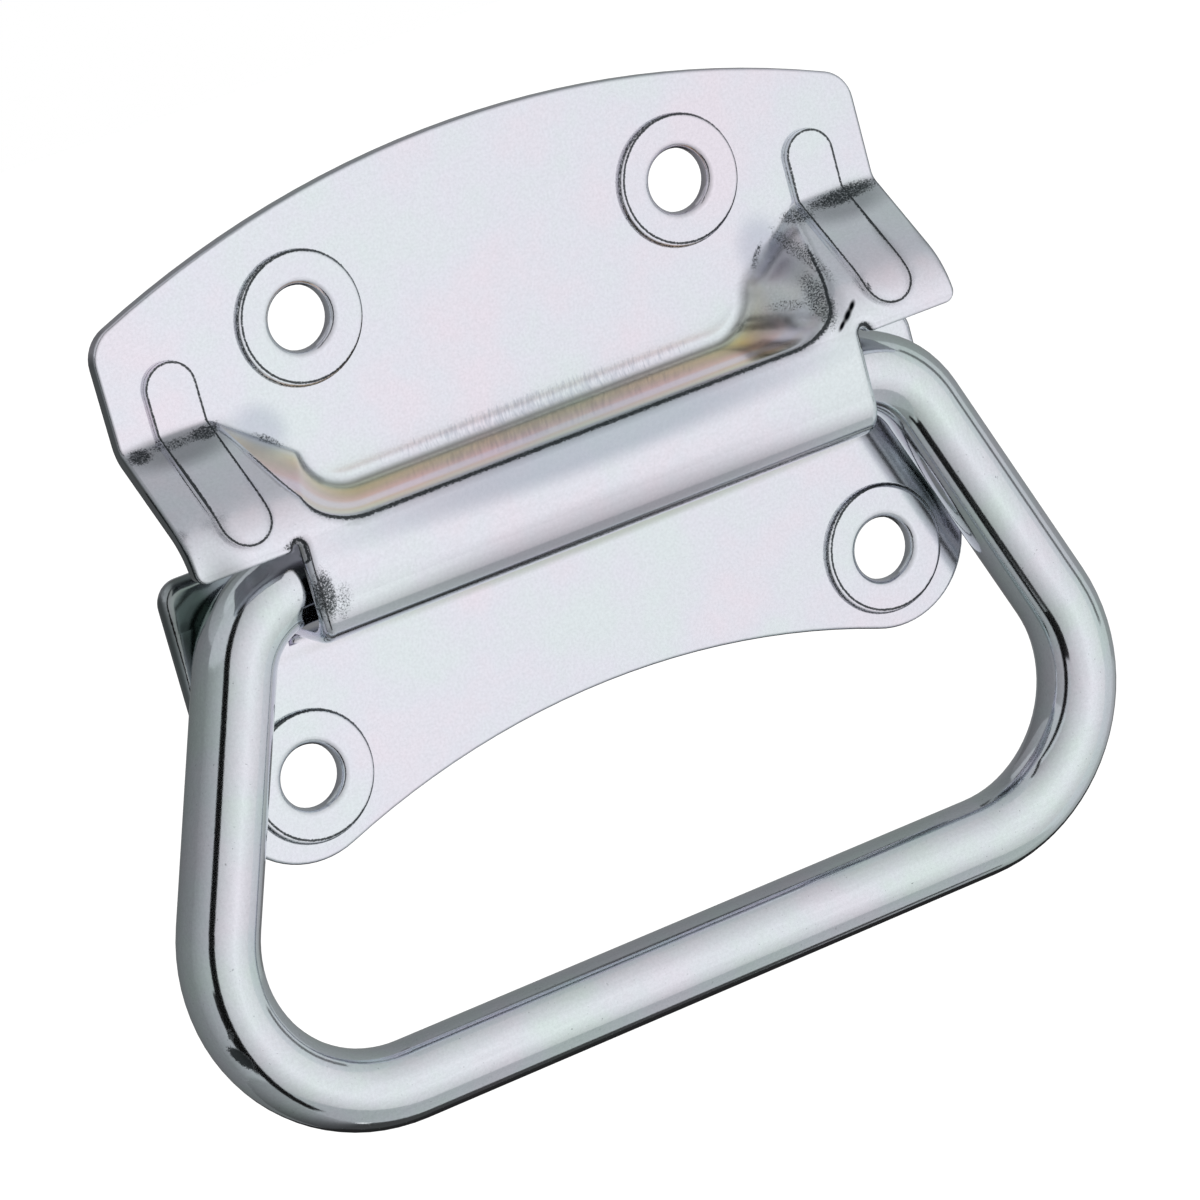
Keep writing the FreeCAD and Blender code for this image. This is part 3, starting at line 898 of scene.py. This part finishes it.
@dataclass(frozen=True)
class DrawnRodZinc(BrightZinc):
    """Bright zinc on the drawn and bent rod.

    Drawing left fine scratches along the rod; they break up its reflections. A few pinhead pits show
    where it was handled, and a dark patch at a lower bend is a painted dark reflection.
    """

    grip_z: tuple[float, float] = (-50.0, -54.0)
    scratch_mm: tuple[float, float] = (0.3, 5.0)
    scratch_height_mm: float = 0.0008
    scratch_levels: tuple[float, float] = (0.3, 0.7)
    scratch_shades: tuple[float, float] = (0.97, 1.02)
    pit_mm: float = 0.3
    pit_levels: tuple[float, float] = (0.7, 0.76)
    pit_most: float = 0.55
    # Painted dark reflection on the lower left bend.
    dark_reflection_patches: tuple[Patch, ...] = (
        Patch(-41.9, -53.0, 0.6, 2.1, 1.4, -30.0),
        Patch(-42.3, -50.8, 0.35, 0.9, 0.9),
    )

    def marks(
        self, tree: Tree, place: Socket,
        normal: Socket, colour: Socket,
    ) -> tuple[Socket | None, ...]:
        """Add the scratches along the rod, its pits and a painted dark reflection at a lower bend.

        Args:
            tree: the material's tree.
            place: the place on the piece in millimetres.
            normal: the direction that the surface faces, on the piece itself.
            colour: the colour so far.

        Returns:
            The new colour, the pits with the painted dark reflection, the relief in millimetres and
            None, for even easing.
        """
        axes = add_node(tree, "ShaderNodeSeparateXYZ", {"Vector": place})
        low = add_node(
            tree, "ShaderNodeMapRange", {"Value": axes.outputs["Z"]},
            {"From Min": self.grip_z[0], "From Max": self.grip_z[1]},
        ).outputs["Result"]
        # A die's scratches are hundredths of a millimetre wide; they are drawn coarser to show.
        fine, long = (1.0 / size for size in self.scratch_mm)
        arms = self.scratches(tree, place, (fine, fine, long))
        grip = self.scratches(tree, place, (long, fine, fine))
        scratch = add_node(
            tree, "ShaderNodeMix", {MIX_FACTOR: low, 2: arms, 3: grip}, data_type="FLOAT",
        ).outputs[0]
        shade = add_node(
            tree, "ShaderNodeMapRange", {"Value": scratch},
            {
                "From Min": self.scratch_levels[0],
                "From Max": self.scratch_levels[1],
                "To Min": self.scratch_shades[0],
                "To Max": self.scratch_shades[1],
            },
        ).outputs["Result"]
        colour = add_node(
            tree, "ShaderNodeVectorMath", {0: colour, "Scale": shade}, operation="SCALE",
        ).outputs["Vector"]
        pits = add_node(
            tree, "ShaderNodeTexNoise", {"Vector": place},
            {"Scale": 1.0 / self.pit_mm, "Detail": 1.0, "Roughness": 0.5},
        )
        rub_and_shade = add_node(
            tree, "ShaderNodeMapRange", {"Value": pits.outputs["Fac"]},
            {
                "From Min": self.pit_levels[0],
                "From Max": self.pit_levels[1],
                "To Max": self.pit_most,
            },
        ).outputs["Result"]
        front = self.facing_front(tree, normal)
        # Painted dark reflection at a lower bend, darkened like the pits.
        for patch in self.dark_reflection_patches:
            rub_and_shade = patch.raised(tree, place, rub_and_shade, front)
        relief = add_node(
            tree, "ShaderNodeMath", {0: scratch}, {1: self.scratch_height_mm},
            operation="MULTIPLY",
        ).outputs[0]
        return colour, rub_and_shade, relief, None

    def scratches(self, tree: Tree, place: Socket, scale: tuple[float, float, float]) -> Socket:
        """Draw scratches that run along one axis.

        Args:
            tree: the material's tree.
            place: the place on the piece in millimetres.
            scale: scratches per millimetre along each axis.

        Returns:
            The scratches' height, from 0 to 1.
        """
        drawn = add_node(tree, "ShaderNodeMapping", {"Vector": place}, {"Scale": scale})
        return add_node(
            tree, "ShaderNodeTexNoise", {"Vector": drawn.outputs["Vector"]},
            {"Scale": 1.0, "Detail": 3.0, "Roughness": 0.65},
        ).outputs["Fac"]


SHEET_ZINC = PressedSheetZinc(
    name="bright_zinc_plated_pressed_sheet",
    base="#E4E5EE",
    pink="#ECE2EC",
    green="#DFEAEA",
    cloud_mm=13.0,
    cloud_share=0.65,
    roughness=0.13,
    edge_mm=0.12,
)
ROD_ZINC = DrawnRodZinc(
    name="bright_zinc_plated_drawn_rod",
    base="#DEE3E9",
    pink="#E3E1EA",
    green="#DAE6E4",
    cloud_mm=9.0,
    cloud_share=0.9,
    roughness=0.1,
    edge_mm=0.1,
)


@dataclass
class PlatedPiece:
    """A piece whose solid comes from the CAD and whose plating comes from here."""

    piece: Piece
    finish: BrightZinc

    def dress(self) -> bpy.types.Object:
        """Give the piece its plating.

        Returns:
            The dressed node.
        """
        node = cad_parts[self.piece.value]
        node.data.materials.clear()
        node.data.materials.append(self.finish.build())
        return node


@dataclass
class MountingPlate(PlatedPiece):
    """The pressed plate."""

    piece: Piece = Piece.PLATE
    finish: BrightZinc = SHEET_ZINC


@dataclass
class Bail(PlatedPiece):
    """The bent rod."""

    piece: Piece = Piece.BAIL
    finish: BrightZinc = ROD_ZINC


@dataclass(frozen=True)
class Card:
    """One matt studio card that the metal reflects and the camera doesn't see.

    It is a strip of a sphere round the handle, given by bearings in degrees: azimuth 0 is in front of
    the handle and 90 is to its right, elevation 90 is overhead.
    """

    name: str
    azimuths: tuple[float, float]
    elevations: tuple[float, float]
    shades: tuple[float, float]
    fade: tuple[float, float] = (1.0, 1.0)
    tint: str = "#FFFFFF"
    distance: float = 0.9


@dataclass
class Studio:
    """A white floor in a white surround, with grey and dark cards that give the metal its lines."""

    floor_drop: float = 0.9
    floor_size: float = 12.0
    floor_lift: float = 0.45
    world_light: float = 0.7
    card_step: float = 6.0
    lamp_place: tuple[float, float, float] = (-0.5, -1.0, 1.1)
    lamp_size: float = 0.5
    lamp_power: float = 2.0
    sensor_width: float = 36.0
    clip: tuple[float, float] = (0.01, 50.0)
    target: tuple[float, float, float] = (0.0, -0.004, -0.027)
    camera_place: tuple[float, float, float] = (-0.19316, -0.43355, 0.08945)
    camera_forward: tuple[float, float, float] = (0.39743, 0.88416, -0.24558)
    camera_right: tuple[float, float, float] = (0.85361, -0.45443, -0.25465)
    camera_lens: float = 179.71

    def cards(self) -> list[Card]:
        """List the cards that stand round the handle.

        Returns:
            The cards, each with its bearings and the shades of its two ends.
        """
        cool = "#EDF1F2"
        under, low, high = (-50.0, -18.0), (-18.0, 10.0), (10.0, 62.0)
        dim = (1.0, 0.7)
        rising = (0.74, 1.0)
        return [
            Card("front_left_under_card", (-46.5, 16.0), under, (0.54, 1.0), rising),
            Card("front_left_low_card", (-46.5, 16.0), low, (0.54, 1.0)),
            Card("front_left_high_card", (-46.5, 16.0), high, (0.54, 1.0), dim),
            Card("front_right_under_card", (16.0, 60.0), under, (1.0, 0.84), rising),
            Card("front_right_low_card", (16.0, 60.0), low, (1.0, 0.84)),
            Card("front_right_high_card", (16.0, 60.0), high, (1.0, 0.84), dim),
            Card("right_low_card", (60.0, 98.0), (-50.0, 10.0), (0.84, 0.7), tint=cool),
            Card("right_high_card", (60.0, 98.0), high, (0.84, 0.7), (1.0, 0.8), cool),
            Card("right_strip", (75.0, 83.0), (-14.0, 28.0), (0.2, 0.2), tint=cool, distance=0.5),
            Card("gap_strip", (-59.5, -46.5), (-62.0, 62.0), (0.004, 0.004), distance=0.15),
            Card("upper_gap_strip", (-57.5, -5.0), (62.0, 69.0), (0.004, 0.004), distance=0.15),
            Card("bend_strip", (-58.0, -42.0), (-46.0, -14.0), (0.01, 0.01), distance=0.6),
            Card("left_card", (-100.0, -46.5), (-50.0, 20.0), (0.32, 0.62), tint=cool),
            Card("left_high_card", (-100.0, -46.5), (20.0, 62.0), (0.6, 0.72), tint=cool),
            Card("back_left_card", (-180.0, -100.0), (-50.0, 30.0), (0.17, 0.3), tint=cool),
            Card("back_left_middle_card", (-180.0, -100.0), (30.0, 50.0), (0.26, 0.5), tint=cool),
            Card("back_left_high_card", (-180.0, -100.0), (50.0, 62.0), (0.5, 0.7), tint=cool),
            Card("back_right_card", (98.0, 180.0), (-20.0, 62.0), (0.42, 0.22), tint=cool),
            Card("grip_strip", (119.0, 136.0), (57.5, 62.0), (0.0, 0.16), tint=cool, distance=0.8),
            Card("back_right_low_card", (98.0, 125.0), (-62.0, -20.0), (0.6, 0.4), tint=cool),
            Card("back_dark_card", (125.0, 180.0), (-62.0, -28.0), (0.02, 0.02)),
            Card("back_dusk_card", (125.0, 180.0), (-28.0, -20.0), (0.2, 0.15)),
            Card("back_under_card", (98.0, 180.0), (-88.0, -62.0), (0.06, 0.06)),
            Card("bottom_front_card", (-46.5, 98.0), (-88.0, -50.0), (0.5, 0.62), tint=cool),
            Card("bottom_left_card", (-180.0, -46.5), (-88.0, -50.0), (0.06, 0.4), tint=cool),
            Card("top_left_card", (-90.0, 28.0), (62.0, 89.0), (0.66, 0.66), (1.0, 0.75), cool),
            Card("top_right_card", (28.0, 98.0), (62.0, 89.0), (0.68, 0.62), (1.0, 0.7), cool),
            Card("top_back_right_card", (98.0, 180.0), (62.0, 89.0), (0.36, 0.3), tint=cool),
            Card("top_back_left_card", (-180.0, -90.0), (62.0, 89.0), (0.45, 0.66), tint=cool),
        ]

    def build(self) -> None:
        """Make the world, floor, cards, lamp and camera."""
        self.make_world()
        self.make_floor()
        finish = self.make_card_finish()
        for card in self.cards():
            self.make_card(card, finish)
        self.make_lamp("key_softbox", self.lamp_place, self.lamp_size, self.lamp_power)
        self.make_camera()

    def seen_rays(self, tree: Tree) -> Socket:
        """Find the rays that show the background: the camera's, mirrored and passed through.

        Args:
            tree: the tree that gets the nodes.

        Returns:
            1 for such a ray and 0 for the rest.
        """
        rays = add_node(tree, "ShaderNodeLightPath")
        seen = add_node(
            tree, "ShaderNodeMath",
            {0: rays.outputs["Is Camera Ray"], 1: rays.outputs["Is Glossy Ray"]},
            operation="MAXIMUM",
        )
        return add_node(
            tree, "ShaderNodeMath", {0: seen.outputs[0], 1: rays.outputs["Is Transmission Ray"]},
            operation="MAXIMUM",
        ).outputs[0]

    def make_world(self) -> None:
        """Light everything evenly, and show white behind it and in its reflections."""
        world = bpy.data.worlds.new("white_surround")
        world.use_nodes = True
        tree = world.node_tree
        tree.nodes.clear()
        shown = self.seen_rays(tree)
        strength = add_node(
            tree, "ShaderNodeMapRange", {"Value": shown}, {"To Min": self.world_light},
        )
        light = add_node(
            tree, "ShaderNodeBackground", {"Strength": strength.outputs["Result"]},
            {"Color": (1.0, 1.0, 1.0, 1.0)},
        )
        add_node(tree, "ShaderNodeOutputWorld", {"Surface": light.outputs["Background"]})
        bpy.context.scene.world = world

    def make_floor(self) -> None:
        """Lay a plain pale floor under the handle."""
        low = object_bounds()[0].z - self.floor_drop
        half = self.floor_size / 2.0
        corners = [(-half, -half, low), (half, -half, low), (half, half, low), (-half, half, low)]
        floor = self.mesh_object("floor", corners, [(0, 1, 2, 3)])
        material = bpy.data.materials.new("matt_white_paper_sweep")
        material.use_nodes = True
        tree = material.node_tree
        tree.nodes.clear()
        shown = self.seen_rays(tree)
        lift = add_node(tree, "ShaderNodeMapRange", {"Value": shown}, {"To Max": self.floor_lift})
        shader = add_node(
            tree, "ShaderNodeBsdfPrincipled", {"Emission Strength": lift.outputs["Result"]},
            {
                "Base Color": linear("#F4F4F4"),
                "Roughness": 0.9,
                "Emission Color": (1.0, 1.0, 1.0, 1.0),
            },
        )
        add_node(tree, "ShaderNodeOutputMaterial", {"Surface": shader.outputs["BSDF"]})
        floor.data.materials.append(material)
        floor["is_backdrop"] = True

    def make_card(self, card: Card, finish: bpy.types.Material) -> None:
        """Hang one card.

        Args:
            card: its bearings, distance and shades.
            finish: the board that it is cut from.
        """
        width = card.azimuths[1] - card.azimuths[0]
        height = card.elevations[1] - card.elevations[0]
        columns = max(1, math.ceil(width / self.card_step))
        rows = max(1, math.ceil(height / self.card_step))
        places = []
        shades = []
        for column in range(columns + 1):
            along = column / columns
            azimuth = math.radians(card.azimuths[0] + along * width)
            for row in range(rows + 1):
                up = row / rows
                rise = math.radians(card.elevations[0] + up * height)
                level = math.cos(rise)
                bearing = Vector((
                    math.sin(azimuth) * level, -math.cos(azimuth) * level, math.sin(rise),
                ))
                places.append(Vector(self.target) + bearing * card.distance)
                shade = card.shades[0] + along * (card.shades[1] - card.shades[0])
                shades.append(shade * (card.fade[0] + up * (card.fade[1] - card.fade[0])))
        faces = []
        for column in range(columns):
            for row in range(rows):
                first = column * (rows + 1) + row
                faces.append((first, first + rows + 1, first + rows + 2, first + 1))
        board = self.mesh_object(card.name, places, faces)
        board.visible_camera = False
        board.visible_shadow = False
        board.visible_diffuse = False
        tint = linear(card.tint)
        layer = board.data.attributes.new("shade", "FLOAT_COLOR", "POINT")
        layer.data.foreach_set("color", [shade * part for shade in shades for part in tint])
        board.data.materials.append(finish)
        board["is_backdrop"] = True

    def make_card_finish(self) -> bpy.types.Material:
        """Make the matt board that all the cards are cut from.

        Returns:
            The material, as bright as each card's own shade.
        """
        material = bpy.data.materials.new("matt_grey_board")
        material.use_nodes = True
        tree = material.node_tree
        tree.nodes.clear()
        shade = add_node(tree, "ShaderNodeAttribute", attribute_name="shade")
        glow = add_node(tree, "ShaderNodeEmission", {"Color": shade.outputs["Color"]})
        add_node(tree, "ShaderNodeOutputMaterial", {"Surface": glow.outputs["Emission"]})
        return material

    def mesh_object(
        self, name: str, places: Sequence[Sequence[float]], faces: Sequence[Sequence[int]],
    ) -> bpy.types.Object:
        """Make one mesh object.

        Args:
            name: the object's name.
            places: its points in metres.
            faces: the points of each face.

        Returns:
            The new object, in the scene.
        """
        mesh = bpy.data.meshes.new(name)
        mesh.from_pydata([tuple(place) for place in places], [], [tuple(face) for face in faces])
        made = bpy.data.objects.new(name, mesh)
        bpy.context.scene.collection.objects.link(made)
        return made

    def make_lamp(self, name: str, place: Sequence[float], size: float, power: float) -> None:
        """Hang one square softbox that faces the handle.

        Args:
            name: the lamp's name.
            place: where it hangs, in metres.
            size: the side of the square, in metres.
            power: its power in watts.
        """
        lamp = bpy.data.lights.new(name, "AREA")
        lamp.shape = "SQUARE"
        lamp.size = size
        lamp.energy = power
        holder = bpy.data.objects.new(name, lamp)
        bpy.context.scene.collection.objects.link(holder)
        holder.location = place
        aim = Vector(self.target) - Vector(place)
        holder.rotation_mode = "QUATERNION"
        holder.rotation_quaternion = aim.to_track_quat("-Z", "Y")

    def make_camera(self) -> None:
        """Place the camera where the photograph was taken from."""
        forward = Vector(self.camera_forward).normalized()
        right = Vector(self.camera_right)
        right = (right - forward * right.dot(forward)).normalized()
        up = right.cross(forward)
        turn = Matrix((right, up, -forward)).transposed()
        data = bpy.data.cameras.new("photo_view")
        data.sensor_width = self.sensor_width
        data.lens = self.camera_lens
        data.clip_start, data.clip_end = self.clip
        camera = bpy.data.objects.new("photo_view", data)
        bpy.context.scene.collection.objects.link(camera)
        camera.matrix_world = Matrix.Translation(self.camera_place) @ turn.to_4x4()
        bpy.context.scene.camera = camera


def main() -> None:
    """Dress both pieces, set up the studio and log each piece's finish."""
    for part in (MountingPlate(), Bail()):
        node = part.dress()
        log.info("%s dressed in %s", part.piece.value, node.data.materials[0].name)
    Studio().build()
    bpy.context.scene.view_settings.view_transform = "Standard"


if __name__ == "__main__":
    main()
